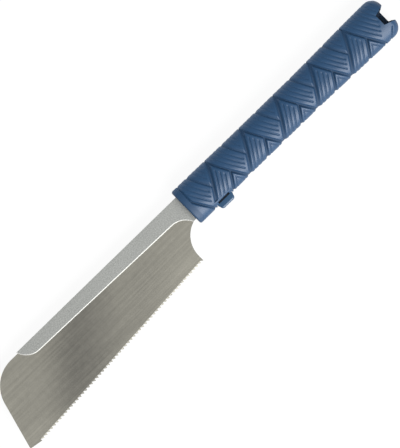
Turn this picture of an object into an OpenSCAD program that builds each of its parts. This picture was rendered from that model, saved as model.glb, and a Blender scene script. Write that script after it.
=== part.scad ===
// Flush cut pull saw with a quick-release blade in a hollow grip moulded in two halves.
// X runs from the toe of the blade to the butt of the grip, Y to the back of the blade
// and Z is square to the blade. The saw lies on one side of its grip, on Z = 0.
// Inside the modules X = 0 is the front face of the grip, Y = 0 its axis and Z = 0 the blade.

/* [Blade] */
// Length of the toothed edge
toothed_l = 170; // [140:1:190]
// Distance from the grip's front face to the heel of the blade
heel_set = 16.8; // [14:0.1:24]
// Drop of the heel below the grip's axis
heel_drop = 35; // [31:0.2:42]
// Angle between the toothed edge and the grip's axis
edge_angle = 3.94; // [0:0.1:6]
// Thickness of the plate
plate_t = 0.6; // [0.4:0.1:1]
// Pitch of the teeth
tooth_pitch = 3; // [2:0.1:5]
// Depth of the teeth
tooth_depth = 1.6; // [1:0.1:3]
// Radius of the hollow behind the heel
hollow_r = 20.3; // [16:0.1:22]
// Turn of that hollow, in degrees
hollow_turn = 75; // [60:1:80]
// Radius of the nose
nose_r = 25; // [15:0.5:28]
// Length of the plain corner between the teeth and the toe
toe_plain_l = 9.9; // [6:0.1:14]
// Rise of the toe's corner above the line of the teeth's tips
toe_rise = 2.4; // [1:0.1:4]

/* [Spine] */
// Length of the spine from the grip's front face to its tip
spine_l = 156.5; // [130:0.5:175]
// Thickness of the folded spine
spine_t = 2.6; // [2:0.1:4]
// Height of the neck where it enters the grip
neck_h = 20.8; // [18:0.1:22]
// Height of the spine's flange at its tip
flange_tip_h = 10.1; // [8:0.1:12]
// Radius of the spine's rounded tip
tip_r = 14; // [12:0.1:18]
// Height of the flange where the flare to the neck starts
flange_root_h = 12.5; // [10:0.1:14]
// Length of the flare from the flange to the neck
flare_l = 13; // [9:0.5:16]
// Distance from the grip's front face to the bottom of the flare
flare_set = 3; // [2:0.5:5]
// Distance from the spine's tip to the start of the nose
nose_lead = 6.5; // [4:0.5:12]
// Depth of the plate's top edge below the top of the fold
fold_depth = 1.1; // [1:0.1:2.4]
// Width of the bevel along the flange's lower edge
bevel_w = 0.9; // [0.5:0.1:1.4]

/* [Tang and sleeve] */
// Depth of the neck in the grip's mouth
neck_in = 2.5; // [1.5:0.1:4]
// Length of the tang from the grip's front face
tang_l = 46; // [40:0.5:52]
// Height of the tang
tang_h = 9; // [8:0.1:10]
// Offset of the tang's middle above the grip's axis
tang_lift = 0.5; // [0.2:0.1:1]
// Gap around the tang in its sleeve
tang_gap = 0.15; // [0.1:0.01:0.25]
// Thickness of the sleeve's steel
sleeve_t = 1; // [0.8:0.1:1.2]
// Length of the closed tail of the sleeve
tail_l = 22; // [18:0.5:26]
// Diameter of the cross pins
pin_d = 4; // [3:0.1:5]
// Distance between the cross pins
pin_pitch = 11; // [9:0.5:12]

/* [Lock] */
// Thickness of the lock spring
spring_t = 0.8; // [0.6:0.1:1]
// Length of the lock tooth along the tang
lock_tooth_l = 4; // [3:0.1:5]
// Depth of the lock notch in the tang
notch_depth = 2.25; // [2:0.05:3.5]
// Gap around the lock tooth
lock_gap = 0.25; // [0.15:0.05:0.4]
// Diameter of the rivets' shanks
rivet_d = 1.8; // [1.4:0.1:2]
// Distance between the rivets
rivet_pitch = 5; // [4:0.5:6]

/* [Release button] */
// Distance from the grip's front face to the button's middle
button_set = 24.2; // [21:0.1:26]
// Length of the button where it leaves the grip
button_l = 14; // [12.5:0.1:15]
// Length of the button's outer face
button_face_l = 12.6; // [10:0.1:13]
// Width of the button across the grip
button_w = 8.6; // [8:0.1:9.4]
// How far the button stands out of the grip
button_out = 4; // [3.5:0.1:5.5]
// Thickness of the button's inner flange
button_flange_t = 1.8; // [1.4:0.1:2]
// Overhang of the flange at each end of the button
button_flange_l = 2.8; // [2:0.1:3.5]
// Thickness of the prongs that lift the spring
prong_t = 1.5; // [1.2:0.1:1.6]
// Length of each prong along the grip
prong_l = 6; // [4:0.1:7]
// Thickness of the button's outer lip
button_lip = 4.7; // [3.5:0.1:5]
// Length of the pockets that thin the button behind its lip
button_pocket_l = 10.6; // [8:0.1:11]
// Thickness of the web between the pockets
button_web_t = 4; // [3:0.1:5]
// Gap between the button and the grip
button_gap = 0.3; // [0.2:0.05:0.4]
// Plain rim round the button's window
button_rim = 1.8; // [1:0.1:2.5]
// Length of the recess that frees the button's sides
button_recess_l = 10.4; // [8:0.1:12]
// Width of that recess across the grip
button_recess_w = 13.2; // [11:0.1:14]
// Depth of that recess from the grip's edge
button_recess_deep = 3.4; // [2:0.1:3.8]

/* [Grip] */
// Length of the grip
grip_l = 198; // [170:1:220]
// Width of the grip at its front
front_w = 30.3; // [28.5:0.1:33]
// Width of the grip at its waist
waist_w = 29.2; // [28:0.1:32]
// Width of the grip near its butt
butt_w = 31.8; // [29:0.1:34]
// Thickness of the grip
grip_t = 22; // [21:0.5:26]
// Wall of the shells under the relief
wall = 2.4; // [2:0.1:2.8]
// Thickness of the front wall
front_wall = 5; // [4.4:0.1:7]
// Corner radius of the butt, seen from the side
butt_r = 8.5; // [6:0.5:10]
// Corner radius of the butt, seen from the back
butt_edge_r = 5; // [3:0.5:6]
// Radius of the front edge
front_r = 1.6; // [1:0.1:2.5]

/* [Wrap relief] */
// Distance along the grip between two crossings of the wrap
wrap_pitch = 16.65; // [14:0.05:19]
// Distance from the grip's front face to the first crossing
wrap_start = 15.65; // [12:0.05:18]
// Drop of the wrap's middle line below the grip's axis
wrap_drop = 2.7; // [0:0.1:4]
// Height from that line to the crossings on the back of the grip
wrap_up = 22.5; // [21:0.1:26]
// Depth of the relief on the faces of the grip
relief = 1.1; // [0.5:0.1:1.2]
// Depth of the relief at the seam between the shells
seam_relief = 0.4; // [0.3:0.1:0.5]
// Width of the grooves between the bands
band_gap = 1.2; // [0.8:0.1:1.6]
// Width of the fine grooves in a band
cord_gap = 0.8; // [0.5:0.1:1]
// Plain strip that is left where the fine grooves end
cord_stop = 3; // [2:0.1:4]
// Length of the plain collar at the front
collar_l = 5.4; // [4:0.1:7]
// Length of the plain butt
butt_plain_l = 14; // [10:0.5:20]
// Distance from the end of the grip to the slanting groove in its butt
butt_groove_set = 11.5; // [9:0.1:14]
// Length of that groove
butt_groove_l = 7; // [5:0.1:9]

/* [Hang notch] */
// Depth of the notch in the near shell
hang_depth = 8.6; // [6:0.1:10]
// Depth of the notch in the far shell
hang_depth_far = 3.8; // [3.6:0.1:6]
// Width of the notch at its floor
hang_floor_w = 8.8; // [7:0.1:10]
// Width of the notch at its mouth
hang_mouth_w = 15; // [11:0.1:16]
// Offset of the notch's middle below the grip's axis
hang_drop = 0.7; // [0:0.1:2]

/* [Hidden] */
$fn = 32;
// How far a cut runs past the face that it opens
overrun = 1;
// Gap of a seat between two fixed pieces
seat_gap = 0.2;
// Gap round the neck in the grip's mouth
mouth_gap = 0.3;
// Gap between the plate and each cheek of the fold
crimp_gap = 0.02;
// Steps along an arc of an outline
arc_steps = 14;

// Blade outline
spine_top = neck_h / 2;
plate_top = spine_top - fold_depth;
heel = [-heel_set, -heel_drop];
edge_dir = [-cos(edge_angle), -sin(edge_angle)];
edge_in = [-sin(edge_angle), cos(edge_angle)];
toe = on_edge(toothed_l + toe_plain_l, toe_rise);
nose_centre = [-spine_l - nose_lead, plate_top - nose_r];
toe_run = nose_centre - toe;
// The toe edge runs from the toe's corner to touch the nose's arc
nose_end_angle = 180 + atan2(toe_run[1], toe_run[0]) - acos(nose_r / norm(toe_run));
blade_tip = min(toe[0], nose_centre[0] + nose_r * cos(min(180, nose_end_angle)));
tooth_count = floor(toothed_l / tooth_pitch);
// Share of the pitch that a tooth's long back takes; the steep face looks at the grip
tooth_back_share = 0.8;
hollow_centre = [hollow_r - heel_set, -neck_h / 2 - hollow_r * sin(hollow_turn)];
plate_end = hollow_centre[0] - hollow_r * cos(hollow_turn);

// Spine outline
fold_r = spine_t / 2;
tip_over = tip_r - flange_tip_h;
tip_centre = [sqrt(tip_r * tip_r - tip_over * tip_over) - spine_l, spine_top + tip_over];
tip_angle = asin((tip_over + fold_r) / tip_r);
fold_tip = tip_centre[0] - tip_r * cos(tip_angle);
flange_tip = tip_centre - [0, tip_r];
flange_root = [-flare_set - flare_l, spine_top - flange_root_h];
flare_h = neck_h - flange_root_h;
flare_r = (flare_l * flare_l + flare_h * flare_h) / (2 * flare_h);
flare_angle = acos(flare_l / flare_r);

// Tang, sleeve and lock
tang_low = tang_lift - tang_h / 2;
tang_high = tang_lift + tang_h / 2;
tang_chamfer_share = 0.17;
tang_chamfer = tang_chamfer_share * tang_h;
bore_h = tang_h + 2 * tang_gap;
bore_t = spine_t + 2 * tang_gap;
sleeve_h = bore_h + 2 * sleeve_t;
sleeve_w = bore_t + 2 * sleeve_t;
sleeve_low = tang_lift - sleeve_h / 2;
sleeve_high = tang_lift + sleeve_h / 2;
sleeve_front = neck_in + 2 * seat_gap;
rivet_head_r = rivet_d;
rivet_head_h = rivet_d / 2;
rivet_gap = 0.05;
rivet_places = [tang_l + 2 * rivet_head_r, tang_l + 2 * rivet_head_r + rivet_pitch];
sleeve_back = rivet_places[1] + 2 * rivet_head_r;
tail_t = 2 * sleeve_t;
tail_back = sleeve_back + tail_l;
pin_gap = 0.1;
pin_places = [sleeve_back + pin_d, sleeve_back + pin_d + pin_pitch];
lock_notch_l = lock_tooth_l + 2 * lock_gap;
lock_tooth_w = bore_t - 2 * lock_gap;
spring_front = button_set - prong_l;
spring_back = sleeve_back - seat_gap;

// Grip
half_t = grip_t / 2;
skin = relief + wall;
// Where the waist starts and ends, as shares of the grip's length
waist_shares = [0.3, 0.55];
waist_start = waist_shares[0] * grip_l;
waist_end = waist_shares[1] * grip_l;
butt_start = grip_l - butt_r;
body_steps = 6;
butt_steps = 4;
ring_points = 12;
ring_power = 2.3;
ring_fit = pow(cos(180 / ring_points), 2 / ring_power);
stations = concat(
    [for (i = [0:2]) front_r * (1 - cos(45 * i))],
    [for (i = [1:body_steps]) front_r + (butt_start - front_r) * i / body_steps],
    [for (i = [1:butt_steps]) butt_start + butt_r * sin(90 * i / butt_steps)]);
// Thickness of the ribs, as a share of the wall
rib_share = 0.7;
rib_t = rib_share * wall;
rear_rib_count = 4;
rear_rib_pitch = (butt_start - tail_back) / rear_rib_count;
boss_r = pin_d;
pin_half = half_t - skin - rib_t / 2;
peg_r = pin_d / 2;
peg_gap = 0.15;
peg_in = pin_d;
peg_places = [tail_back + rear_rib_pitch / 2, butt_start - rear_rib_pitch / 2];

// Button, whose travel lifts the lock tooth clear of the tang
button_travel = notch_depth - lock_gap + 2 * button_gap;
prong_in = sleeve_w / 2 + button_gap;
prong_out = prong_in + prong_t;
prong_top = sleeve_high - button_gap;
flange_high = sleeve_low - button_travel - 2 * button_gap;
flange_low = flange_high - button_flange_t;
flange_l = button_l + 2 * button_flange_l;
button_edge = -grip_half_w(button_set);
button_low = button_edge - button_out;
// Corner radius, groove radius and groove spacing of the button's face, as shares of its sizes
button_round_share = 0.6;
button_groove_share = 0.125;
button_groove_pitch_share = 0.2;
button_round = button_round_share * button_out;
button_groove_r = button_groove_share * button_out;
button_groove_pitch = button_groove_pitch_share * button_face_l;
cradle_places = [button_set + flange_l / 2 + 2 * rib_t, sleeve_back - rib_t];

// Wrap: shares of a band's width at which its fine grooves run
cord_first_share = 0.285;
cord_step_share = 0.216;
cord_count = 3;
butt_cord_count = 6;
cord_shares = [for (i = [0:cord_count - 1]) cord_first_share + i * cord_step_share];
// The last band goes on to the butt's upper corner
butt_cord_shares = [for (i = [0:butt_cord_count - 1]) cord_first_share + i * cord_step_share];
wrap_last = floor((grip_l - butt_plain_l - wrap_start) / wrap_pitch);
// Depth from the wrap's middle line to its lower crossings, just past the grip's widest place
wrap_down = butt_w / 2 + band_gap - wrap_drop;
wrap_slope = atan2(wrap_up + wrap_down, wrap_pitch);
cord_gap_x = cord_gap / sin(wrap_slope);

// Middle of the saw's outline, which stands over the origin
middle = [(blade_tip + grip_l) / 2, (butt_w / 2 + heel[1] + toothed_l * edge_dir[1]) / 2];

function arc(centre, r, from, to) =
    [for (i = [0:arc_steps]) let (a = from + (to - from) * i / arc_steps) centre + r * [cos(a), sin(a)]];
function on_edge(along, deep) = heel + along * edge_dir + deep * edge_in;
function ease(share) = share * share * (3 - 2 * share);
function clamp_share(value) = max(0, min(1, value));
// Half width of the grip before its ends are rounded
function grip_half_w(x) = x < waist_end
    ? (front_w + (waist_w - front_w) * ease(clamp_share(x / waist_start))) / 2
    : (waist_w + (butt_w - waist_w) * ease(clamp_share((x - waist_end) / (butt_start - waist_end)))) / 2;
function front_inset(x) = x < front_r ? front_r - sqrt(front_r * front_r - pow(front_r - x, 2)) : 0;
function butt_inset(x, r) = x > grip_l - r ? r - sqrt(max(0, r * r - pow(x - grip_l + r, 2))) : 0;
function round_power(v) = sign(v) * pow(abs(v), 2 / ring_power) / ring_fit;
// Oval section of the grip at a place along it, drawn in by insets at the seam and on the faces
function ring(x, seam_inset, face_inset) = let (
        half_y = grip_half_w(x) - front_inset(x) - butt_inset(x, butt_r) - seam_inset,
        half_z = half_t - front_inset(x) - butt_inset(x, butt_edge_r) - face_inset)
    [for (i = [0:ring_points - 1]) let (a = 360 * (i + 0.5) / ring_points)
        [x, half_y * round_power(cos(a)), half_z * round_power(sin(a))]];

module plate_outline() {
    polygon(concat(
        [[plate_end, plate_top]],
        arc(nose_centre, nose_r, 90, nose_end_angle),
        [toe, on_edge(toothed_l, 0)],
        [for (i = [0:tooth_count - 1], tip = [0, 1])
            on_edge(toothed_l - (i + tip * tooth_back_share) * tooth_pitch, (1 - tip) * tooth_depth)],
        [on_edge(toothed_l - tooth_count * tooth_pitch, tooth_depth), heel],
        arc(hollow_centre, hollow_r, 180, 180 - hollow_turn)));
}

module spine_outline() {
    polygon(concat(
        [[neck_in, -neck_h / 2], [neck_in, tang_low]],
        [[tang_l - tang_chamfer, tang_low], [tang_l, tang_low + tang_chamfer]],
        [[tang_l, tang_high - tang_chamfer], [tang_l - tang_chamfer, tang_high]],
        [for (p = [[1, 0], [1, 1], [-1, 1], [-1, 0]])
            [button_set + p[0] * lock_notch_l / 2, tang_high - p[1] * notch_depth]],
        [[neck_in, tang_high], [neck_in, spine_top - fold_r]],
        arc(tip_centre, tip_r, 180 + tip_angle, 270),
        arc(flange_root - [0, flare_r], flare_r, 90, flare_angle)));
}

module saw_blade() {
    color("lightgray") linear_extrude(plate_t, center = true) plate_outline();
}

module blade_spine() {
    flange_run = flange_root - flange_tip;
    color("silver") difference() {
        union() {
            linear_extrude(spine_t, center = true) spine_outline();
            translate([fold_tip, spine_top - fold_r, 0]) intersection() {
                rotate([0, 90, 0]) cylinder(r = fold_r, h = neck_in - fold_tip);
                translate([0, 0, -spine_t]) cube([neck_in - fold_tip, spine_t, 2 * spine_t]);
            }
        }
        linear_extrude(plate_t + 2 * crimp_gap, center = true) plate_outline();
        for (side = [-1, 1])
            translate([flange_tip[0], flange_tip[1], side * fold_r])
                rotate([0, 0, atan2(flange_run[1], flange_run[0])])
                    rotate([45, 0, 0])
                        translate([0, -bevel_w / 2, -bevel_w / 2]) cube([norm(flange_run), bevel_w, bevel_w]);
    }
}

module rivet_holes() {
    for (x = rivet_places)
        translate([x, sleeve_high + spring_t + overrun, 0]) rotate([90, 0, 0])
            cylinder(d = rivet_d + 2 * rivet_gap, h = spring_t + sleeve_t + 2 * overrun);
}

module tang_sleeve() {
    color("dimgray") difference() {
        union() {
            translate([sleeve_front, sleeve_low, -sleeve_w / 2])
                cube([sleeve_back - sleeve_front, sleeve_h, sleeve_w]);
            translate([sleeve_back, sleeve_low, -tail_t / 2]) cube([tail_l, sleeve_h, tail_t]);
        }
        translate([sleeve_front - overrun, tang_lift - bore_h / 2, -bore_t / 2])
            cube([sleeve_back - sleeve_t - sleeve_front + overrun, bore_h, bore_t]);
        translate([button_set - lock_notch_l / 2, tang_lift, -bore_t / 2])
            cube([lock_notch_l, sleeve_h, bore_t]);
        rivet_holes();
        for (x = pin_places)
            translate([x, tang_lift, -sleeve_w]) cylinder(d = pin_d + 2 * pin_gap, h = 2 * sleeve_w);
    }
}

module lock_spring() {
    tooth_low = tang_high - notch_depth + lock_gap;
    color("gray") difference() {
        union() {
            translate([spring_front, sleeve_high, -sleeve_w / 2])
                cube([spring_back - spring_front, spring_t, sleeve_w]);
            translate([button_set - prong_l / 2, sleeve_high, -prong_out])
                cube([prong_l, spring_t, 2 * prong_out]);
            translate([button_set - lock_tooth_l / 2, tooth_low, -lock_tooth_w / 2])
                cube([lock_tooth_l, sleeve_high + spring_t - tooth_low, lock_tooth_w]);
        }
        rivet_holes();
    }
}

module spring_rivets() {
    bore_high = tang_lift + bore_h / 2;
    upset_r = bore_t / 2 - rivet_gap;
    color("darkgray") for (x = rivet_places)
        translate([x, 0, 0]) rotate([-90, 0, 0]) {
            translate([0, 0, bore_high - rivet_head_h]) cylinder(r = upset_r, h = rivet_head_h);
            translate([0, 0, bore_high]) cylinder(d = rivet_d, h = sleeve_t + spring_t);
            translate([0, 0, sleeve_high + spring_t]) cylinder(r = rivet_head_r, h = rivet_head_h);
        }
}

module sleeve_pins() {
    color("darkgray") for (x = pin_places)
        translate([x, tang_lift, -pin_half]) cylinder(d = pin_d, h = 2 * pin_half);
}

module release_button() {
    color("steelblue") translate([button_set, 0, 0]) difference() {
        union() {
            hull() {
                translate([-button_l / 2, button_edge, -button_w / 2])
                    cube([button_l, flange_low - button_edge, button_w]);
                for (side = [-1, 1])
                    translate([side * (button_face_l / 2 - button_round), button_low + button_round, 0])
                        cylinder(r = button_round, h = button_w, center = true, $fn = 32);
            }
            translate([-flange_l / 2, flange_low, -button_w / 2])
                cube([flange_l, button_flange_t, button_w]);
            for (side = [-1, 1])
                translate([-prong_l / 2, flange_low, side * (prong_in + prong_t / 2) - prong_t / 2])
                    cube([prong_l, prong_top - flange_low, prong_t]);
        }
        for (i = [-1:1])
            translate([i * button_groove_pitch, button_low, 0])
                cylinder(r = button_groove_r, h = button_w + overrun, center = true);
        for (side = [0, 180])
            rotate([0, side, 0]) translate([-button_pocket_l / 2, button_low + button_lip, button_web_t / 2])
                cube([button_pocket_l, flange_low - button_low - button_lip, button_w]);
    }
}

// Grip body between two places along it, drawn in by insets at the seam and on the faces
module grip_loft(seam_inset, face_inset, from, to) {
    inner = [for (x = stations) if (x > from && x < to) x];
    places = concat([from], inner, [to]);
    for (i = [1:len(places) - 1])
        hull() polyhedron(
            concat(ring(places[i - 1], seam_inset, face_inset), ring(places[i], seam_inset, face_inset)),
            [[for (j = [0:2 * ring_points - 1]) j]]);
}

// Height of the wrap's lattice, from -1 at its lower crossings over 0 on its middle line to 1 at its upper ones
function wrap_y(level) = -wrap_drop + level * (level > 0 ? wrap_up : wrap_down);
function wrap_x(k) = wrap_start + k * wrap_pitch;
function wrap_lean(k) = k % 2 == 0 ? 1 : -1;

// One cell of the wrap: its outline less the fine grooves that run along its band from this place
module wrap_cell(corners, start, lean, shares) {
    difference() {
        offset(delta = -band_gap / 2) polygon([for (p = corners) [p[0], wrap_y(lean * p[1])]]);
        for (share = shares) {
            run = 1 - share / 2 - cord_stop / (2 * wrap_pitch);
            steps = run > 1 / 2 ? [0, 1 / 2, run] : [0, run];
            ends = [for (i = [0:len(steps) - 1]) [steps[i], -1], for (i = [len(steps) - 1:-1:0]) [steps[i], 1]];
            polygon([for (p = ends)
                [start + (share + p[0]) * wrap_pitch + p[1] * cord_gap_x / 2, wrap_y(lean * (1 - 2 * p[0]))]]);
        }
    }
}

// The wrap's pattern seen square to the blade: bands that cross over and under in turn, and the gaps between
module wrap_bands() {
    for (k = [0:wrap_last - 1]) {
        x = wrap_x(k);
        far = wrap_x(k + 1 / 2);
        wrap_cell([[wrap_x(k - 1), 1], [x, 1], [far, 0], [x, -1], [wrap_x(k - 1 / 2), 0]],
            wrap_x(k - 1), wrap_lean(k), cord_shares);
        wrap_cell([[x, 1], [wrap_x(k + 1), 1], [far, 0]], x, wrap_lean(k), []);
    }
}

// The last band, which runs into the plain butt without a groove
module wrap_butt() {
    difference() {
        wrap_cell([[wrap_x(wrap_last - 1), 1], [2 * grip_l, 1], [2 * grip_l, -1], [wrap_x(wrap_last), -1],
            [wrap_x(wrap_last - 1 / 2), 0]], wrap_x(wrap_last - 1), wrap_lean(wrap_last), butt_cord_shares);
        translate([grip_l - butt_groove_set, -butt_w / 2]) rotate(45)
            translate([-butt_groove_l, -cord_gap / 2]) square([2 * butt_groove_l, cord_gap]);
    }
}

// What stands up to the full section: the collar, the wrap, the rim of the button's window and the butt
module wrap_face() {
    rim_l = button_l + 2 * (button_gap + button_rim);
    translate([0, -butt_w]) square([collar_l, 2 * butt_w]);
    wrap_cell([[wrap_x(-2), -1], [wrap_x(0), -1], [wrap_x(-1 / 2), 0], [wrap_x(-1), 1], [wrap_x(-2), 1]],
        0, 1, []);
    difference() {
        union() {
            wrap_bands();
            wrap_butt();
        }
        translate([-wrap_pitch, -butt_w]) square([wrap_pitch + collar_l + cord_gap, 2 * butt_w]);
    }
    translate([button_set - rim_l / 2, button_low]) square([rim_l, button_out + 2 * button_rim]);
}

module grip_skin() {
    grip_loft(seam_relief, relief, 0, grip_l);
    intersection() {
        grip_loft(0, 0, 0, grip_l);
        linear_extrude(2 * grip_t, center = true) wrap_face();
    }
}

// Ribs and bosses inside the grip, of which each shell holds its half
module grip_frames() {
    intersection() {
        grip_loft(relief + wall / 2, relief + wall / 2, front_wall, grip_l - wall);
        union() {
            for (x = concat(cradle_places, [for (i = [0:rear_rib_count - 1]) tail_back + i * rear_rib_pitch]))
                translate([x, -butt_w / 2, -half_t]) cube([rib_t, butt_w, grip_t]);
            for (x = concat(pin_places, peg_places))
                translate([x, tang_lift, -half_t]) cylinder(r = boss_r, h = grip_t, $fn = 16);
        }
    }
}

// Room for the neck, the sleeve, the spring's lift, the pins and the button
module grip_room() {
    slot_w = sleeve_w + 2 * seat_gap;
    translate([-overrun, -neck_h / 2 - mouth_gap, -fold_r - mouth_gap])
        cube([neck_in + mouth_gap + overrun, neck_h + 2 * mouth_gap, spine_t + 2 * mouth_gap]);
    translate([neck_in, sleeve_low - seat_gap, -slot_w / 2])
        cube([sleeve_back + seat_gap - neck_in, sleeve_h + 2 * seat_gap, slot_w]);
    translate([front_wall, sleeve_low, -slot_w / 2])
        cube([sleeve_back + seat_gap - front_wall, grip_half_w(sleeve_back) - skin - sleeve_low, slot_w]);
    translate([sleeve_back, sleeve_low - seat_gap, -tail_t / 2 - seat_gap])
        cube([tail_l + seat_gap, sleeve_h + 2 * seat_gap, tail_t + 2 * seat_gap]);
    for (x = pin_places)
        translate([x, tang_lift, -pin_half - seat_gap])
            cylinder(d = pin_d + 2 * pin_gap, h = 2 * (pin_half + seat_gap), $fn = 16);
    translate([button_set - button_l / 2 - button_gap, -butt_w, -button_w / 2 - button_gap])
        cube([button_l + 2 * button_gap, butt_w, button_w + 2 * button_gap]);
    translate([button_set - button_recess_l / 2, -butt_w, -button_recess_w / 2])
        cube([button_recess_l, butt_w + button_edge + button_recess_deep, button_recess_w]);
    translate([button_set - flange_l / 2 - button_gap, flange_low - button_gap, -button_w / 2 - button_gap])
        cube([flange_l + 2 * button_gap, sleeve_low - flange_low, button_w + 2 * button_gap]);
}

module hang_notch(depth) {
    linear_extrude(2 * grip_t, center = true)
        polygon([for (p = [[-1, -1, 1], [0, -1, 0], [0, 1, 0], [-1, 1, 1]]) let (
                share = 1 - p[2],
                w = hang_floor_w + (hang_mouth_w - hang_floor_w) * share)
            [grip_l - p[2] * depth + share * overrun, -hang_drop + p[1] * w / 2]]);
}

module grip_half(side, depth) {
    intersection() {
        translate([-grip_l, -grip_l, side < 0 ? -grip_t : 0]) cube([3 * grip_l, 2 * grip_l, grip_t]);
        difference() {
            union() {
                difference() {
                    grip_skin();
                    grip_loft(skin, skin, front_wall, grip_l - wall);
                }
                grip_frames();
            }
            grip_room();
            hang_notch(depth);
        }
    }
}

module handle_shell_near() {
    color("steelblue") {
        grip_half(1, hang_depth);
        for (x = peg_places)
            translate([x, tang_lift, -peg_in]) cylinder(r = peg_r, h = 2 * peg_in, $fn = 16);
    }
}

module handle_shell_far() {
    color("steelblue") difference() {
        grip_half(-1, hang_depth_far);
        for (x = peg_places)
            translate([x, tang_lift, -peg_in - seat_gap])
                cylinder(r = peg_r + peg_gap, h = peg_in + seat_gap + overrun, $fn = 16);
    }
}

module placed() {
    translate([-middle[0], -middle[1], half_t]) children();
}

placed() saw_blade();
placed() blade_spine();
placed() tang_sleeve();
placed() lock_spring();
placed() spring_rivets();
placed() sleeve_pins();
placed() release_button();
placed() handle_shell_near();
placed() handle_shell_far();
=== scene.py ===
import math

import bmesh
import bpy
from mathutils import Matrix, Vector


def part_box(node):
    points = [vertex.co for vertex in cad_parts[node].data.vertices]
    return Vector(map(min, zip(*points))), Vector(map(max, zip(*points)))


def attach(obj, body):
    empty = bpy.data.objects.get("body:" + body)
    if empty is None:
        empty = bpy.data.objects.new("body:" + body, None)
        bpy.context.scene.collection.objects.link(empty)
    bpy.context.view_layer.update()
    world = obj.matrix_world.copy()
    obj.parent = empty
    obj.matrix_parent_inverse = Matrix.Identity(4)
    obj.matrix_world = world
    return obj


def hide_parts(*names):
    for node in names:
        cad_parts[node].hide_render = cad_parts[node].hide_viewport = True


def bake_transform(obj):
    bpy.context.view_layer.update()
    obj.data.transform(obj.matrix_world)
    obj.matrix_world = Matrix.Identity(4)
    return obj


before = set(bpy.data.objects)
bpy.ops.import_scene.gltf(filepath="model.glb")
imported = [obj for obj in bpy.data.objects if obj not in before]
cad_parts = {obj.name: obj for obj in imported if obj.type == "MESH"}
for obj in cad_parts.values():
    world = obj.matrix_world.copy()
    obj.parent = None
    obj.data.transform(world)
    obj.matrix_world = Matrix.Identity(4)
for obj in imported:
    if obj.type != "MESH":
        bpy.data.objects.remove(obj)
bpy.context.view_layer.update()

# Saw plate: thin hardened strip, rolled and ground along its length, cut out with a rounded nose and
# a hollow behind its heel. It is pinched in the folded spine and carries the teeth on its lower edge.
MM = 0.001
grip_low, grip_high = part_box("handle_shell_near")
grip_front = Vector((grip_low.x, (grip_low.y + grip_high.y) / 2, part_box("handle_shell_far")[1].z))
heel = Vector((-16.8, -35))
edge_turn = math.radians(3.94)
edge_run = Vector((-math.cos(edge_turn), -math.sin(edge_turn)))
edge_in = Vector((-math.sin(edge_turn), math.cos(edge_turn)))
toothed_l = 170
toe_l, toe_rise = 9.9, 2.4
tooth_pitch = 3
tooth_depth = 1.6
tooth_count = int(toothed_l / tooth_pitch)
plate_t = 0.6
spine_top = 10.4
plate_top = 9.3
nose_r = 25
nose_centre = Vector((-163, plate_top - nose_r))
hollow_r = 20.3
hollow_turn = 75
hollow_l = hollow_r * math.cos(math.radians(hollow_turn))
hollow_h = hollow_r * math.sin(math.radians(hollow_turn))
hollow_centre = Vector((heel.x + hollow_r, -spine_top - hollow_h))
# Painted reflection on the plate: slanting bands of light and dark, given by their slant, their width and
# their greys.
sheen_slant, sheen_l = 0.85, 0.2
sheen = ((0.0, 0.66), (0.16, 0.62), (0.39, 0.24), (0.66, 0.58), (0.9, 0.72))
plate_dark, plate_light = (0.134, 0.130, 0.118), (0.446, 0.432, 0.370)


def placed(x, y, z=0.0):
    """A point of the grip's own frame, in millimetres, as a point of the part's frame."""
    return grip_front + Vector((x, y, z)) * MM


def arc(centre, r, start, end, steps):
    """Points along a circle's arc, from one angle to another in degrees."""
    turns = [math.radians(start + (end - start) * i / steps) for i in range(steps + 1)]
    return [Vector(centre) + r * Vector((math.cos(a), math.sin(a))) for a in turns]


def on_edge(along, deep=0.0):
    """A point along the toothed edge from the heel, and that deep in the plate."""
    return heel + along * edge_run + deep * edge_in


def new_piece(name, mesh):
    """A piece in the scene with this mesh."""
    piece = bpy.data.objects.new(name, mesh)
    bpy.context.scene.collection.objects.link(piece)
    return piece


def new_mesh(name, work):
    """A mesh of the faces worked out so far."""
    mesh = bpy.data.meshes.new(name)
    work.to_mesh(mesh)
    work.free()
    return mesh


def creased(mesh, angle):
    """Smooth shading, but for edges where faces meet at more than this angle, in degrees."""
    mesh.shade_smooth()
    mesh.set_sharp_from_angle(angle=math.radians(angle))


def cut_sheet(name, outline, thickness, edges, crease=32):
    """A flat piece cut to an outline. edges maps (width, segments, slot) to the outline's runs that are
    bevelled so, with their faces in that material slot."""
    work = bmesh.new()
    low, high = ([work.verts.new(placed(*p, z)) for p in outline] for z in (-thickness / 2, thickness / 2))
    count = len(outline)
    work.faces.new(low[::-1])
    work.faces.new(high)
    for i in range(count):
        j = (i + 1) % count
        work.faces.new((low[i], low[j], high[j], high[i]))
    bmesh.ops.recalc_face_normals(work, faces=work.faces)
    groups = []
    for finish, runs in edges.items():
        chosen = [work.edges.get((ring[i], ring[(i + 1) % count])) for i in runs for ring in (low, high)]
        groups.append((finish, chosen))
    for (width, segments, slot), chosen in groups:
        bmesh.ops.bevel(work, geom=[e for e in chosen if e.is_valid], offset=width * MM, segments=segments,
                        profile=0.5, affect="EDGES", clamp_overlap=True, material=slot)
    mesh = new_mesh(name, work)
    creased(mesh, crease)
    return new_piece(name, mesh)


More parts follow.
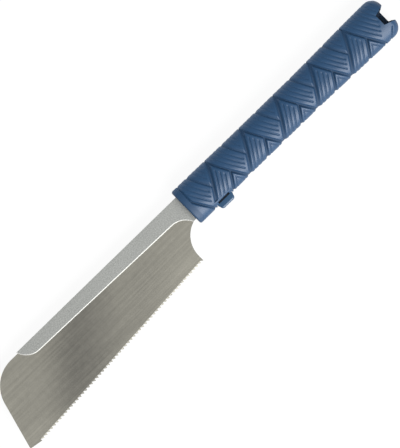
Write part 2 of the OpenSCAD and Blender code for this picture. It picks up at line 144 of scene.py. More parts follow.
class Wire:
    """A node's output. Sums and products of wires add Math nodes to the tree they are in."""

    def __init__(self, socket):
        self.socket = socket
        self.tree = socket.id_data

    @staticmethod
    def node(tree, kind, settings=None, values=None, out=0):
        """Adds a node, sets it up, fills or links its inputs and gives one of its outputs."""
        made = tree.nodes.new(kind)
        for key, value in (settings or {}).items():
            if key == "stops":
                ramp = made.color_ramp
                ramp.interpolation = "EASE"
                while len(ramp.elements) < len(value):
                    ramp.elements.new(0.5)
                for stop, (place, colour) in zip(ramp.elements, value):
                    stop.position = place
                    stop.color = (*colour, 1)
            else:
                setattr(made, key, value)
        for key, value in (values or {}).items():
            if isinstance(value, Wire):
                tree.links.new(value.socket, made.inputs[key])
            else:
                made.inputs[key].default_value = value
        return Wire(made.outputs[out])

    def math(self, operation, *others):
        values = dict(enumerate((self, *others)))
        return Wire.node(self.tree, "ShaderNodeMath", {"operation": operation}, values)

    def flipped(self, operation, first):
        return Wire.node(self.tree, "ShaderNodeMath", {"operation": operation}, {0: first, 1: self})

    def __add__(self, other):
        return self.math("ADD", other)

    def __radd__(self, other):
        return self.math("ADD", other)

    def __sub__(self, other):
        return self.math("SUBTRACT", other)

    def __rsub__(self, other):
        return self.flipped("SUBTRACT", other)

    def __mul__(self, other):
        return self.math("MULTIPLY", other)

    def __rmul__(self, other):
        return self.math("MULTIPLY", other)

    def __truediv__(self, other):
        return self.math("DIVIDE", other)

    def __rtruediv__(self, other):
        return self.flipped("DIVIDE", other)

    def __pow__(self, other):
        return self.math("POWER", other)

    def __rpow__(self, other):
        return self.flipped("POWER", other)

    def __gt__(self, other):
        return self.math("GREATER_THAN", other)

    def __lt__(self, other):
        return self.math("LESS_THAN", other)

    def low(self, other):
        return self.math("MINIMUM", other)

    def high(self, other):
        return self.math("MAXIMUM", other)

    def rise(self, start, end):
        """0 before start, 1 after end and a smooth ramp between them."""
        values = {"Value": self, "From Min": start, "From Max": end}
        return Wire.node(self.tree, "ShaderNodeMapRange", {"interpolation_type": "SMOOTHSTEP"}, values)


def split(tree, vector):
    """Wires for the x, y and z of a vector."""
    parts = Wire.node(tree, "ShaderNodeSeparateXYZ", {}, {0: vector}).socket.node
    return [Wire(socket) for socket in parts.outputs]


def new_finish(name, metallic):
    """A material with its shader, its tree and a wire of the piece's own coordinates."""
    material = bpy.data.materials.new(name)
    material.use_nodes = True
    shader = material.node_tree.nodes["Principled BSDF"]
    shader.inputs["Metallic"].default_value = metallic
    place = Wire.node(material.node_tree, "ShaderNodeTexCoord", out="Object")
    return material, shader, material.node_tree, place


def feed(shader, socket, wire):
    """Links a wire to one of a shader's inputs."""
    wire.tree.links.new(wire.socket, shader.inputs[socket])


def tone(tree, factor, dark, light):
    """A colour between two, by a factor that changes over the surface."""
    return Wire.node(tree, "ShaderNodeMix", {"data_type": "RGBA"},
                     {"Factor": factor, 6: (*dark, 1), 7: (*light, 1)}, out=2)


def grain(tree, place, scale, detail=2.0, stretch=(1, 1, 1), turn=0.0):
    """Noise from 0 to 1 over the piece, drawn out along one way where stretch says so."""
    spot = Wire.node(tree, "ShaderNodeMapping", {},
                     {"Vector": place, "Rotation": (0, 0, turn), "Scale": stretch})
    return Wire.node(tree, "ShaderNodeTexNoise", {}, {"Vector": spot, "Scale": scale, "Detail": detail})


def bump(tree, height, strength, distance):
    """A surface's fine unevenness, as a normal."""
    return Wire.node(tree, "ShaderNodeBump", {},
                     {"Height": height, "Strength": strength, "Distance": distance})


def coat(piece, finish):
    """Gives a piece one finish all over."""
    piece.data.materials.clear()
    piece.data.materials.append(finish)


plate_steel, shader, tree, place = new_finish("ground blade steel", metallic=1.0)
streaks = grain(tree, place, 900, detail=3, stretch=(0.02, 1, 1), turn=-edge_turn)
clouds = grain(tree, place, 24, stretch=(0.5, 1, 1), turn=-edge_turn)
mottle = grain(tree, place, 260)
place_x, place_y = split(tree, place)[:2]
# Painted reflection: the slanting bands of light and dark are the studio's reflection, put into the plate's
# colour.
painted_reflection = Wire.node(tree, "ShaderNodeValToRGB", {"stops": [(at, (grey,) * 3) for at, grey in sheen]},
                   {"Fac": (place_x - sheen_slant * place_y) / sheen_l + 1})
shade = painted_reflection + 0.4 * (clouds - 0.5) + 0.12 * (streaks - 0.5) + 0.2 * (mottle - 0.5)
feed(shader, "Base Color", tone(tree, shade, plate_dark, plate_light))
feed(shader, "Roughness", 0.3 + 0.14 * streaks)
feed(shader, "Normal", bump(tree, streaks, strength=0.12, distance=0.00004))

toe = on_edge(toothed_l + toe_l, toe_rise)
toe_back = nose_centre - toe
nose_end = 180 + math.degrees(math.atan2(toe_back.y, toe_back.x) - math.acos(nose_r / toe_back.length))
plate_outline = [Vector((hollow_centre.x - hollow_l, plate_top))]
plate_outline += arc(nose_centre, nose_r, 90, nose_end, steps=40)
plate_outline += [toe, on_edge(toothed_l), on_edge(toothed_l, tooth_depth)]
plate_outline += [on_edge(toothed_l - tooth_count * tooth_pitch, tooth_depth), heel]
plate_outline += arc(hollow_centre, hollow_r, 180, 180 - hollow_turn, steps=40)
plate = cut_sheet("saw_plate", plate_outline, plate_t, {})
coat(plate, plate_steel)
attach(plate, "blade_unit")
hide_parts("saw_blade")

# Saw teeth: ground on the plate's lower edge to cut on the pull, so their steep faces look at the grip.
# Each is filed to a thin tip. They have no set, so that the saw cuts flush and doesn't scratch.
tooth_row = bpy.data.node_groups.new("row of saw teeth", "GeometryNodeTree")


def tree_inputs(tree, wanted):
    """Named inputs of a geometry tree, with their usual values, and a wire for each of them."""
    sockets = {}
    for name, (kind, value) in wanted.items():
        socket = tree.interface.new_socket(name, in_out="INPUT", socket_type="NodeSocket" + kind)
        if value is not None:
            socket.default_value = value
        sockets[name] = socket
    tree.interface.new_socket("Geometry", in_out="OUTPUT", socket_type="NodeSocketGeometry")
    group = tree.nodes.new("NodeGroupInput")
    return sockets, {name: Wire(group.outputs[name]) for name in wanted}


def tree_output(tree, geometry, finish):
    """Ends a geometry tree with real faces in this finish."""
    geometry = Wire.node(tree, "GeometryNodeRealizeInstances", {}, {"Geometry": geometry})
    geometry = Wire.node(tree, "GeometryNodeSetMaterial", {}, {"Geometry": geometry, "Material": finish})
    group = tree.nodes.new("NodeGroupOutput")
    tree.links.new(geometry.socket, group.inputs[0])


def vector_of(tree, *parts):
    """A vector with these parts."""
    return Wire.node(tree, "ShaderNodeCombineXYZ", {}, dict(enumerate(parts)))


def plain(piece):
    """The piece with its modifiers worked into its mesh."""
    shown = piece.evaluated_get(bpy.context.evaluated_depsgraph_get())
    mesh = bpy.data.meshes.new_from_object(shown)
    piece.modifiers.clear()
    piece.data = mesh
    return piece


def grown(name, tree, sockets, values):
    """A piece that a geometry tree makes from these values, as a plain mesh."""
    piece = new_piece(name, bpy.data.meshes.new(name))
    modifier = piece.modifiers.new(name, "NODES")
    modifier.node_group = tree
    for key, value in values.items():
        modifier[sockets[key].identifier] = value
    return plain(piece)


tooth_sockets, size = tree_inputs(tooth_row, {
    "Teeth": ("Int", None), "Pitch": ("Float", None), "Depth": ("Float", None), "Thickness": ("Float", None),
    "Tip share": ("Float", 0.8), "Tip width share": ("Float", 0.04), "Tip thickness share": ("Float", 0.4),
    "Edge turn": ("Float", None), "First root": ("Vector", None), "Steel": ("Material", None)})
blank = Wire.node(tooth_row, "GeometryNodeMeshCube", {}, {
    "Size": vector_of(tooth_row, size["Pitch"], size["Depth"], size["Thickness"])})
spot_x, spot_y, spot_z = split(tooth_row, Wire.node(tooth_row, "GeometryNodeInputPosition"))
at_tip = spot_y < 0.0
tip_x = size["Tip share"] * size["Pitch"] + size["Tip width share"] * spot_x
root_x = spot_x + size["Pitch"] / 2
thinned = 1 - at_tip * (1 - size["Tip thickness share"])
filed = vector_of(tooth_row, root_x + at_tip * (tip_x - root_x), spot_y - size["Depth"] / 2, spot_z * thinned)
tooth = Wire.node(tooth_row, "GeometryNodeSetPosition", {}, {"Geometry": blank, "Position": filed})
step = vector_of(tooth_row, size["Pitch"] * size["Edge turn"].math("COSINE"),
                 size["Pitch"] * size["Edge turn"].math("SINE"))
roots = Wire.node(tooth_row, "GeometryNodeMeshLine", {"mode": "OFFSET"}, {
    "Count": size["Teeth"], "Start Location": size["First root"], "Offset": step})
row = Wire.node(tooth_row, "GeometryNodeInstanceOnPoints", {}, {
    "Points": roots, "Instance": tooth, "Rotation": vector_of(tooth_row, 0.0, 0.0, size["Edge turn"])})
tree_output(tooth_row, row, size["Steel"])
teeth = grown("saw_teeth", tooth_row, tooth_sockets, {
    "Teeth": tooth_count, "Pitch": tooth_pitch * MM, "Depth": tooth_depth * MM, "Thickness": plate_t * MM,
    "Edge turn": edge_turn, "First root": placed(*on_edge(toothed_l, tooth_depth)), "Steel": plate_steel})
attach(teeth, "blade_unit")
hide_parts("saw_blade")

# Spine: a thicker steel strip folded over the back of the plate and crimped on it, which keeps it stiff.
# Its lower edge is bevelled. At the grip it widens into a neck and goes on as the tang with the lock's notch.
spine_t = 2.6
spine_tip_x = -156.5
tip_h = 10.1
tip_r = 14
tip_over = tip_r - tip_h
flare_top = Vector((-16, -2.1))
flare_l, flare_h = 13, 8.3
flare_r = (flare_l ** 2 + flare_h ** 2) / (2 * flare_h)
fold_r = 1.2
ground_bevel = 0.6
neck_in = 2.5
tang_in, tang_low, tang_high = 46, -4, 5
tang_corner = 1.53
lock_notch = 24.2
notch_half_l, notch_floor = 2.25, 2.75
spine_dark, spine_light = (0.243, 0.25, 0.239), (0.533, 0.543, 0.519)
# The bevel's greys are lighter than the spine's: partly the ground finish, partly a painted highlight along
# the lower edge.
bevel_highlight_dark, bevel_highlight_light = (0.44, 0.44, 0.425), (0.56, 0.56, 0.54)

tip_centre = Vector((math.sqrt(tip_r ** 2 - tip_over ** 2) + spine_tip_x, spine_top + tip_over))
tip_start = 180 + math.degrees(math.asin(tip_over / tip_r))
tip_curve = arc(tip_centre, tip_r, tip_start, 270, steps=24)
flare_end = math.degrees(math.acos(flare_l / flare_r))
flare_curve = arc(flare_top - Vector((0, flare_r)), flare_r, 90, flare_end, steps=20)
notch_front, notch_rear = lock_notch - notch_half_l, lock_notch + notch_half_l
tang = [(neck_in, -spine_top), (neck_in, tang_low), (tang_in - tang_corner, tang_low),
        (tang_in, tang_low + tang_corner), (tang_in, tang_high - tang_corner),
        (tang_in - tang_corner, tang_high), (notch_rear, tang_high), (notch_rear, notch_floor),
        (notch_front, notch_floor), (notch_front, tang_high), (neck_in, tang_high), (neck_in, spine_top)]
spine_outline = tip_curve + flare_curve + [Vector(p) for p in tang]
lower_runs = range(len(tip_curve) + len(flare_curve) - 1)
top_run = [len(spine_outline) - 1]
spine = cut_sheet("folded_spine", spine_outline, spine_t,
                  {(ground_bevel, 1, 1): lower_runs, (fold_r, 5, 0): top_run}, crease=20)
spine_steel, shader, tree, place = new_finish("sanded spine steel", metallic=1.0)
specks = grain(tree, place, 1300)
drawn = grain(tree, place, 1500, stretch=(0.05, 1, 1))
bloom = grain(tree, place, 30, detail=1)
shade = 1.2 * specks + 0.2 * drawn + 0.2 * bloom - 0.3
feed(shader, "Base Color", tone(tree, shade, spine_dark, spine_light))
feed(shader, "Roughness", 0.38 + 0.08 * specks)
feed(shader, "Normal", bump(tree, specks, strength=0.06, distance=0.00004))
# Ground bevel, lighter and less metallic than the spine, so that it also shows as a painted highlight along
# the lower edge.
bevel_steel_and_highlight, shader, tree, place = new_finish("ground bevel and painted highlight", metallic=0.3)
feed(shader, "Base Color", tone(tree, grain(tree, place, 1500), bevel_highlight_dark, bevel_highlight_light))
shader.inputs["Roughness"].default_value = 0.5
spine.data.materials.append(spine_steel)
spine.data.materials.append(bevel_steel_and_highlight)
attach(spine, "blade_unit")
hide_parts("blade_spine")

# Sleeve and its fasteners inside the grip: a folded steel sleeve for the tang, two cross pins that hold it
# between the halves of the grip, and two rivets that hold the lock spring on it. The sleeve is zinc plated,
# the rest is bright steel.
for node, name, dark, light in (
        ("tang_sleeve", "zinc plated sleeve", (0.30, 0.31, 0.32), (0.46, 0.47, 0.47)),
        ("spring_rivets", "rivet steel", (0.34, 0.34, 0.33), (0.50, 0.50, 0.48)),
        ("sleeve_pins", "pin steel", (0.36, 0.36, 0.36), (0.52, 0.52, 0.52))):
    finish, shader, tree, place = new_finish(name, metallic=1.0)
    patches = grain(tree, place, 420, detail=3)
    feed(shader, "Base Color", tone(tree, patches, dark, light))
    feed(shader, "Roughness", 0.3 + 0.25 * patches)
    coat(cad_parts[node], finish)

# Release button: moulded in the grip's plastic, with a ribbed outer lip for the finger and pockets behind it.
# Inside the grip it ends in a flange, which keeps it in, and in two prongs that lift the lock spring.
button_set = lock_notch
button_edge, button_top = -14.95, -10.05
button_out = 4
button_low = button_edge - button_out
button_half_l, button_half_w = 7, 4.3
button_round = 2.6
lip_t = 4.7
lip_half_l, lip_r = 6.3, 2.4
pocket_half_l, pocket_top, pocket_reach = 5.3, -10.1, 6
web_half_t = 2
flange_half_l, flange_low, flange_high = 9.8, -10.15, -8.35
prong_half_l, prong_low, prong_high = 3, -10, 5.85
prong_in, prong_t = 2.75, 1.5
rib_places = (-2.5, 0.0, 2.5)
groove_half_w, groove_depth = 0.3, 0.25
groove_low, groove_reach = -20, 6
button_dark, button_light = (0.0095, 0.037, 0.082), (0.018, 0.062, 0.128)

button_outline = [(-button_half_l, button_top), (-button_half_l, button_edge)]
button_outline += arc((-lip_half_l + lip_r, button_low + lip_r), lip_r, 180, 270, steps=10)
button_outline += arc((lip_half_l - lip_r, button_low + lip_r), lip_r, 270, 360, steps=10)
button_outline += [(button_half_l, button_edge), (button_half_l, button_top)]
button_outline = [Vector((button_set + p[0], p[1])) for p in button_outline]
rounded_runs = range(1, len(button_outline) - 2)
button = cut_sheet("push_button", button_outline, 2 * button_half_w, {(button_round, 8, 0): rounded_runs})


def block(name, low, high):
    """A plain block between two corners of the grip's own frame."""
    work = bmesh.new()
    bmesh.ops.create_cube(work, size=1)
    for corner in work.verts:
        share = corner.co + Vector((0.5, 0.5, 0.5))
        corner.co = placed(*(low[k] + (high[k] - low[k]) * share[k] for k in range(3)))
    return new_piece(name, new_mesh(name, work))


def at_button(name, half_l, low, high, far, near):
    """A plain block centred on the button's line, from low to high and from its far side to its near one."""
    return block(name, (button_set - half_l, low, far), (button_set + half_l, high, near))


def shaped(piece, operation, tools):
    """The piece cut by, or joined with, these tools, which are used up."""
    for tool in tools:
        step = piece.modifiers.new(tool.name, "BOOLEAN")
        step.operation = operation
        step.solver = "MANIFOLD"
        step.object = tool
    plain(piece)
    for tool in tools:
        bpy.data.objects.remove(tool)


shaped(button, "DIFFERENCE", [
    at_button("pocket", pocket_half_l, button_low + lip_t, pocket_top, z, z + pocket_reach)
    for z in (web_half_t, -web_half_t - pocket_reach)])
button_inside = [at_button("flange", flange_half_l, flange_low, flange_high, -button_half_w, button_half_w)]
button_inside += [at_button("prong", prong_half_l, prong_low, prong_high, z, z + prong_t)
                  for z in (prong_in, -prong_in - prong_t)]
shaped(button, "UNION", button_inside)
shaped(button, "DIFFERENCE", [
    block("rib groove", (button_set + x - groove_half_w, groove_low, -groove_reach),
          (button_set + x + groove_half_w, button_low + groove_depth, groove_reach))
    for x in rib_places])
creased(button.data, angle=32)
button_plastic, shader, tree, place = new_finish("button plastic", metallic=0.0)
pores = grain(tree, place, 3200)
wear = grain(tree, place, 60, detail=3)
feed(shader, "Base Color", tone(tree, 0.35 * pores + 0.65 * wear, button_dark, button_light))
feed(shader, "Roughness", 0.23 + 0.12 * wear)
feed(shader, "Normal", bump(tree, pores, strength=0.18, distance=0.00006))
coat(button, button_plastic)
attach(button, "release")
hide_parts("release_button")

# Lock spring: a flat strip of blued spring steel, riveted on the sleeve at its rear end. Its bent tooth drops
# into the tang's notch, and the button's prongs lift its two wings, so that it bends in front of the rivets.
strip_front, strip_l, strip_w = 18.2, 39.8, 4.9
strip_low, strip_high = 6.15, 6.95
strip_steps = 40
wing_half_l, wing_half_w = 3, 4.25
catch_half_l, catch_half_w = 2, 1.2
catch_low, catch_high = 3, 6.9
blued_dark, blued_light = (0.05, 0.06, 0.09), (0.12, 0.13, 0.17)

strip_x = [strip_front + strip_l * i / strip_steps for i in range(strip_steps + 1)]
strip_outline = [Vector((x, strip_low)) for x in strip_x]
strip_outline += [Vector((x, strip_high)) for x in reversed(strip_x)]
strip = cut_sheet("lock_strip", strip_outline, strip_w, {})
shaped(strip, "UNION", [
    at_button("wings", wing_half_l, strip_low, strip_high, -wing_half_w, wing_half_w),
    at_button("tooth", catch_half_l, catch_low, catch_high, -catch_half_w, catch_half_w)])
strip_steel, shader, tree, place = new_finish("blued spring steel", metallic=1.0)
oxide = grain(tree, place, 300, detail=3, stretch=(0.3, 1, 1))
feed(shader, "Base Color", tone(tree, oxide, blued_dark, blued_light))
feed(shader, "Roughness", 0.28 + 0.2 * oxide)
coat(strip, strip_steel)
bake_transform(strip)
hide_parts("lock_spring")

# Grip: two moulded halves that meet at the blade's plane, hollow inside, with the mouth for the neck at the
# front, the button's window below and a notch to hang it by at the butt. The outside is moulded as a cord
# wrap: bands of cords that lean one way and the other in turn and cross over and under each other.
grip_l = 198.0
section_power = 2.3
hair = 0.001
waist_start_share, waist_end_share = 0.3, 0.55
front_wall, side_wall, butt_wall = 5.0, 3.5, 2.6
near_notch, far_notch = 8.6, 3.8
notch_low, notch_high, notch_flare = -5.1, 3.7, 3.1
fit_gap = 0.3
slot_end, slot_low, slot_high, slot_half_w = 7, -5.35, 6.35, 2.65
window_high, flange_room_high = -9, -5.15
recess_half_l, recess_half_w, recess_depth = 5.2, 6.6, 3.4
past_end, past_edge, past_sides = 1, -30, 30
grip_dark, grip_light = (0.002, 0.0143, 0.038), (0.0072, 0.0405, 0.0985)

wrapped_grip = bpy.data.node_groups.new("half of a wrapped grip", "GeometryNodeTree")
grip_sockets, size = tree_inputs(wrapped_grip, {
    "Rows": ("Int", None), "Columns": ("Int", None), "Outer columns": ("Int", None), "From": ("Float", 0.0),
    "To": ("Float", grip_l), "Length": ("Float", grip_l), "Front width": ("Float", 30.3),
    "Waist width": ("Float", 29.2), "Butt width": ("Float", 31.8), "Thickness": ("Float", 22.0),
    "Front radius": ("Float", 1.6), "Butt radius": ("Float", 8.5), "Butt edge radius": ("Float", 5.0),
    "Inset": ("Float", 0.0), "Relief": ("Float", 1.6), "Seam relief": ("Float", 0.8),
    "Pitch": ("Float", 16.65), "First crossing": ("Float", 15.65), "Lean": ("Float", 0.58),
    "Bend": ("Float", 0.003), "Lean shift": ("Float", 1.38), "First cord share": ("Float", 0.285),
    "Cord share": ("Float", 0.216), "Collar": ("Float", 5.4), "Last crossing": ("Float", 10.0),
    "Side": ("Float", None), "Place": ("Vector", None), "Plastic": ("Material", None)})
tube = Wire.node(wrapped_grip, "GeometryNodeMeshCylinder", {"fill_type": "NGON"}, {
    "Vertices": size["Columns"], "Side Segments": size["Rows"], "Radius": 1.0, "Depth": 1.0})
tube_x, tube_y, tube_z = split(wrapped_grip, Wire.node(wrapped_grip, "GeometryNodeInputPosition"))
x = size["From"] + (size["To"] - size["From"]) * (tube_z + 0.5)
turn = (tube_y.math("ARCTAN2", tube_x) / (2 * math.pi) + 1).math("FRACT") * size["Columns"]
outer = turn < size["Outer columns"] + hair
angle = math.pi * (turn / size["Outer columns"]).low(1.0)
back = (turn - size["Outer columns"]) / (size["Columns"] - size["Outer columns"])
across = angle.math("COSINE")
round_y = across.math("SIGN") * across.math("ABSOLUTE") ** (2 / section_power)
round_z = angle.math("SINE").high(0.0) ** (2 / section_power)
share_y = outer * round_y + (1 - outer) * (2 * back - 1)
share_z = outer * round_z


def corner_inset(deep, r):
    """How far a rounded corner of radius r stands back where deep runs from 0 to r."""
    return r - (r * r - deep.high(0.0) ** 2).high(0.0).math("SQRT")


butt_start = size["Length"] - size["Butt radius"]
butt_edge_start = size["Length"] - size["Butt edge radius"]
to_waist = x.rise(0.0, waist_start_share * size["Length"])
to_butt = x.rise(waist_end_share * size["Length"], butt_start)
width = size["Front width"] + (size["Waist width"] - size["Front width"]) * to_waist
width = width + (size["Butt width"] - size["Waist width"]) * to_butt
front_inset = corner_inset(size["Front radius"] - x, size["Front radius"])
half_y = width / 2 - front_inset - corner_inset(x - butt_start, size["Butt radius"])
half_z = size["Thickness"] / 2 - front_inset - corner_inset(x - butt_edge_start, size["Butt edge radius"])
y = half_y * share_y

# The wrap in its own skew coordinates: bands that lean back run where "falling" is between two whole numbers,
# and bands that lean forward where "rising" is. Every second one of each lies on top where they cross, and
# upper and lower triangles are left between them. A slope is where relief starts and where it is full.
band_share = 0.9
fall_slope, rise_slope, upper_slope = (-0.2, 1.4), (0.5, 2.8), (-0.2, 2.2)
side_slope, end_slope, lower_slope = (0.0, 1.2), (-0.2, 1.6), (0.5, 1.9)
step_height = 0.35
cord_half_w, cord_stop = 0.95, (2.6, 3.9)
cord_groove, cord_fade, cord_fade_y = 0.38, 0.45, (-4.0, 9.0)
line_in, line_half_w, line_depth = 3.4, 0.7, 0.35
far_off = 40


def line(off, half_w):
    """1 on a line and 0 where a point is half_w or more off it."""
    return 1 - off.math("ABSOLUTE").rise(0.0, half_w)


def stepped(part, low):
    """A part of 0 to 1 that starts from a low step in place of 0."""
    return low + (1 - low) * part


along = (x - size["First crossing"]) / size["Pitch"] - 0.5
skew = (size["Lean"] * y - size["Bend"] * y * y + size["Lean shift"]) / size["Pitch"]
falling, rising = along + skew, along - skew
fall_no, rise_no = falling.math("FLOOR"), rising.math("FLOOR")
fall_part, rise_part = falling - fall_no, rising - rise_no
fall_odd = (fall_no / 2).math("FRACT") > 0.25
ahead = rise_no > fall_no + 0.5
behind = rise_no < fall_no - 0.5
last = falling > size["Last crossing"] - 1
is_fall = (fall_odd * (1 - ahead)).high(last)
is_rise = (fall_odd * ahead + (1 - fall_odd) * (1 - ahead) * (1 - behind)) * (1 - last)
is_gap = (1 - is_fall - is_rise).high(0.0)
is_upper, is_lower = is_gap * behind, is_gap * ahead
band_w = size["Pitch"] * band_share
fall_start = last * (size["Last crossing"] - 1) + (1 - last) * fall_no
fall_end = last * size["Last crossing"] + (1 - last) * (fall_no + 1)
share = (is_fall + is_upper) * (falling - fall_start) + is_rise * rise_part
left = share * band_w
right = (1 - share) * band_w + far_off * last
end = is_fall * (fall_end - rising) + is_rise * (rise_no + 1 - falling) + is_upper * (fall_no - rising)
end = end * band_w
cord_phase = (share - size["First cord share"]) / size["Cord share"]
cord_no = cord_phase.math("ROUND")
cord_off = (cord_phase - cord_no) * size["Cord share"] * band_w
has_cord = (cord_no > -0.5) * (cord_no < 2.5).high(last)
cords = line(cord_off, cord_half_w) * has_cord * end.rise(*cord_stop)
cord_depth = cord_groove * (1 - cord_fade * (is_fall + is_upper) * y.rise(*cord_fade_y))
right_edge = right.rise(*side_slope)
fall_height = left.rise(*fall_slope) * stepped(right_edge, step_height)
rise_height = left.rise(*rise_slope) * right_edge
upper_height = stepped(left.rise(*upper_slope), step_height)
band_height = is_fall * fall_height + is_rise * rise_height + is_upper * upper_height
band_height = band_height * (end + far_off * last).rise(*end_slope) * (1 - cord_depth * cords)
lower_side = rise_part.low(1 - fall_part) * band_w
lower_height = lower_side.rise(*lower_slope) * (1 - line_depth * line(lower_side - line_in, line_half_w))
height = band_height + is_lower * lower_height

# Plain places: the butt with its one slanting groove, the rim of the button's window and the collar in front,
# with a low shoulder behind it.
groove_in, groove_foot, groove_end = 11.5, -15.9, (-10.0, -8.8)
butt_groove_half_w, butt_groove_depth = 0.7, 0.6
diagonal = 0.707
rim_side, rim_edge = (8.2, 8.8), (-11.9, -11.1)
collar_slope, shoulder_l, shoulder_h = (-0.6, 0.5), 1.4, 0.4
before_slope = (0.0, 1.6)
# The collar is drawn darker and rougher, as if it were sunk by this much.
collar_darkening = 0.4

slant = (x - (size["Length"] - groove_in) - (y - groove_foot)) * diagonal
butt_groove = line(slant, butt_groove_half_w) * (1 - y.rise(*groove_end))
is_butt = rising > size["Last crossing"]
height = height + is_butt * (1 - butt_groove_depth * butt_groove - height)
rim = (1 - (x - button_set).math("ABSOLUTE").rise(*rim_side)) * (1 - y.rise(*rim_edge))
height = height.high(rim)
past_collar = x - size["Collar"]
collar = 1 - past_collar.rise(*collar_slope)
before = ((-1 - falling) * band_w).rise(*before_slope)
height = (height * stepped(past_collar.rise(0.0, shoulder_l), shoulder_h)).high(collar).high(before)
seam_sunk, face_sunk = (size["Inset"] + size[depth] * (1 - height) for depth in ("Seam relief", "Relief"))
# How deep the wrap is sunk, with the collar added, which drives the painted shade and the roughness of the
# plastic.
body = Wire.node(wrapped_grip, "GeometryNodeStoreNamedAttribute", {}, {
    "Geometry": tube, "Name": "wrap_sunk", "Value": 1 - height + collar_darkening * collar})
skin = vector_of(wrapped_grip, x, (half_y - seam_sunk) * share_y,
                 size["Side"] * (half_z - face_sunk) * share_z)
skin = Wire.node(wrapped_grip, "ShaderNodeVectorMath", {"operation": "MULTIPLY_ADD"},
                 {0: skin, 1: (MM, MM, MM), 2: size["Place"]})
body = Wire.node(wrapped_grip, "GeometryNodeSetPosition", {}, {"Geometry": body, "Position": skin})
tree_output(wrapped_grip, body, size["Plastic"])

grip_plastic, shader, tree, place = new_finish("grip plastic", metallic=0.0)
pores = grain(tree, place, 3200)
wear = grain(tree, place, 45, detail=3)
sunk = Wire.node(tree, "ShaderNodeAttribute", {"attribute_name": "wrap_sunk"}, out="Fac")
# Painted shade: darker where the wrap is sunk, in its grooves and recesses, and lighter on the raised bands;
# wear and pores vary it at random.
shade = 0.8 - 0.4 * sunk + 0.2 * wear + 0.1 * (pores - 0.5)
feed(shader, "Base Color", tone(tree, shade, grip_dark, grip_light))
feed(shader, "Roughness", 0.39 + 0.12 * wear + 0.32 * sunk)
feed(shader, "Normal", bump(tree, pores, strength=0.2, distance=0.00006))


def half_grip(name, side, notch_depth):
    """One moulded half, side 1 towards the viewer and -1 away, with its notch that deep."""
    both = {"Side": side, "Place": grip_front, "Plastic": grip_plastic}
    half = grown(name, wrapped_grip, grip_sockets, {
        "Rows": 860, "Columns": 110, "Outer columns": 100, **both})
    hollow = grown("hollow", wrapped_grip, grip_sockets, {
        "Rows": 60, "Columns": 50, "Outer columns": 40, "From": front_wall, "To": grip_l - butt_wall,
        "Inset": side_wall, "Relief": 0.0, "Seam relief": 0.0, **both})
    for body in (half, hollow):
        work = bmesh.new()
        work.from_mesh(body.data)
        bmesh.ops.recalc_face_normals(work, faces=work.faces)
        work.to_mesh(body.data)
        work.free()
    notch_outline = [(grip_l - notch_depth, notch_low), (grip_l + past_end, notch_low - notch_flare),
                     (grip_l + past_end, notch_high + notch_flare), (grip_l - notch_depth, notch_high)]
    notch = cut_sheet("notch", notch_outline, 2 * past_sides, {})
    mouth_h, mouth_half_w = spine_top + fit_gap, spine_t / 2 + fit_gap
    mouth = block("mouth", (-past_end, -mouth_h, -mouth_half_w), (neck_in + fit_gap, mouth_h, mouth_half_w))
    slot = block("sleeve slot", (neck_in, slot_low, -slot_half_w), (slot_end, slot_high, slot_half_w))
    room = button_half_w + fit_gap
    window = at_button("button window", button_half_l + fit_gap, past_edge, window_high, -room, room)
    flange_room = at_button("flange room", flange_half_l + fit_gap, flange_low - fit_gap, flange_room_high,
                            -room, room)
    recess = at_button("button recess", recess_half_l, past_edge, button_edge + recess_depth,
                       -recess_half_w, recess_half_w)
    shaped(half, "DIFFERENCE", [hollow, notch, mouth, slot, window, flange_room, recess])
    coat(half, grip_plastic)
    creased(half.data, angle=55)
    return half


near_half = half_grip("grip_half_near", 1.0, near_notch)
far_half = half_grip("grip_half_far", -1.0, far_notch)
for half, node in ((near_half, "handle_shell_near"), (far_half, "handle_shell_far")):
    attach(half, "handle")
    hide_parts(node)

# Studio: a white table that the saw lies on, even light from all round, a broad soft lamp on the teeth's
# side and a small low one on the back's side, which isn't mirrored in the steel. The camera looks straight
# down, at the photo's scale and turn.
table_reach = 6.0
table_glow = 0.92
photo_w, photo_mm = 400, 0.7036
photo_centre = (-0.7, -14.9)
grip_on_photo = (0.7165, -0.6976)
camera_height = 3.0
sensor_w = 36

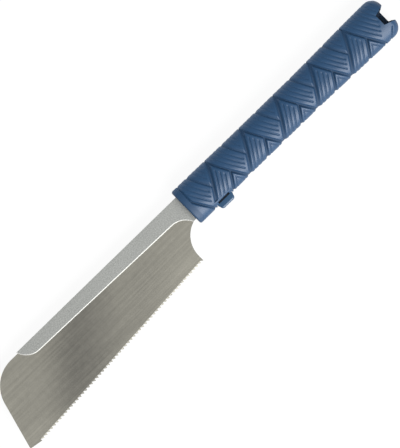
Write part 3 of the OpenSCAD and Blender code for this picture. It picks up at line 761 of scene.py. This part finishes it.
table_mesh = bpy.data.meshes.new("table")
table_corners = [(table_reach * i, table_reach * j, 0) for i, j in ((-1, -1), (1, -1), (1, 1), (-1, 1))]
table_mesh.from_pydata(table_corners, [], [(0, 1, 2, 3)])
table = new_piece("table", table_mesh)
paper, shader, tree, place = new_finish("white paper", metallic=0.0)
feed(shader, "Base Color", tone(tree, grain(tree, place, 30), (0.90, 0.90, 0.90), (0.93, 0.93, 0.93)))
shader.inputs["Roughness"].default_value = 0.9
seen = Wire.node(tree, "ShaderNodeLightPath", out="Is Camera Ray")
for ray in ("Is Glossy Ray", "Is Transmission Ray"):
    seen = seen + Wire.node(tree, "ShaderNodeLightPath", out=ray)
white = Wire.node(tree, "ShaderNodeEmission", {}, {"Color": (1, 1, 1, 1), "Strength": 1.0})
lit = Wire.node(tree, "ShaderNodeMixShader", {},
                {0: table_glow * seen.low(1.0), 1: Wire(shader.outputs[0]), 2: white})
tree.links.new(lit.socket, tree.nodes["Material Output"].inputs["Surface"])
coat(table, paper)


def lamp(name, energy, width, place, target, mirrored=True):
    """A square soft lamp that looks at a point, and shows in shiny surfaces if mirrored."""
    light = bpy.data.lights.new(name, "AREA")
    light.energy = energy
    light.size = width
    stand = bpy.data.objects.new(name, light)
    bpy.context.scene.collection.objects.link(stand)
    stand.visible_glossy = mirrored
    stand.location = place
    stand.rotation_euler = (Vector(target) - Vector(place)).to_track_quat("-Z", "Y").to_euler()


lamp("tooth side lamp", energy=30, width=1.1, place=(0.05, -0.85, 0.75), target=(0, 0, 0.01))
lamp("back side lamp", energy=9, width=0.3, place=(0.1, 1.1, 0.2), target=(0.1, 0, 0.01), mirrored=False)
world = bpy.data.worlds.new("studio")
bpy.context.scene.world = world
world.use_nodes = True
sky = world.node_tree.nodes["Background"]
sky.inputs["Color"].default_value = (1, 1, 1, 1)
sky.inputs["Strength"].default_value = 0.5

camera_data = bpy.data.cameras.new("camera")
camera = bpy.data.objects.new("camera", camera_data)
bpy.context.scene.collection.objects.link(camera)
camera.location = placed(*photo_centre, camera_height / MM)
camera.rotation_euler = (0, 0, math.atan2(grip_on_photo[1], grip_on_photo[0]))
camera_data.sensor_fit = "HORIZONTAL"
camera_data.sensor_width = sensor_w
camera_data.lens = sensor_w * camera_height / (photo_w * photo_mm * MM)
camera_data.clip_end = 50
bpy.context.scene.camera = camera
bpy.context.scene.view_settings.view_transform = "Standard"
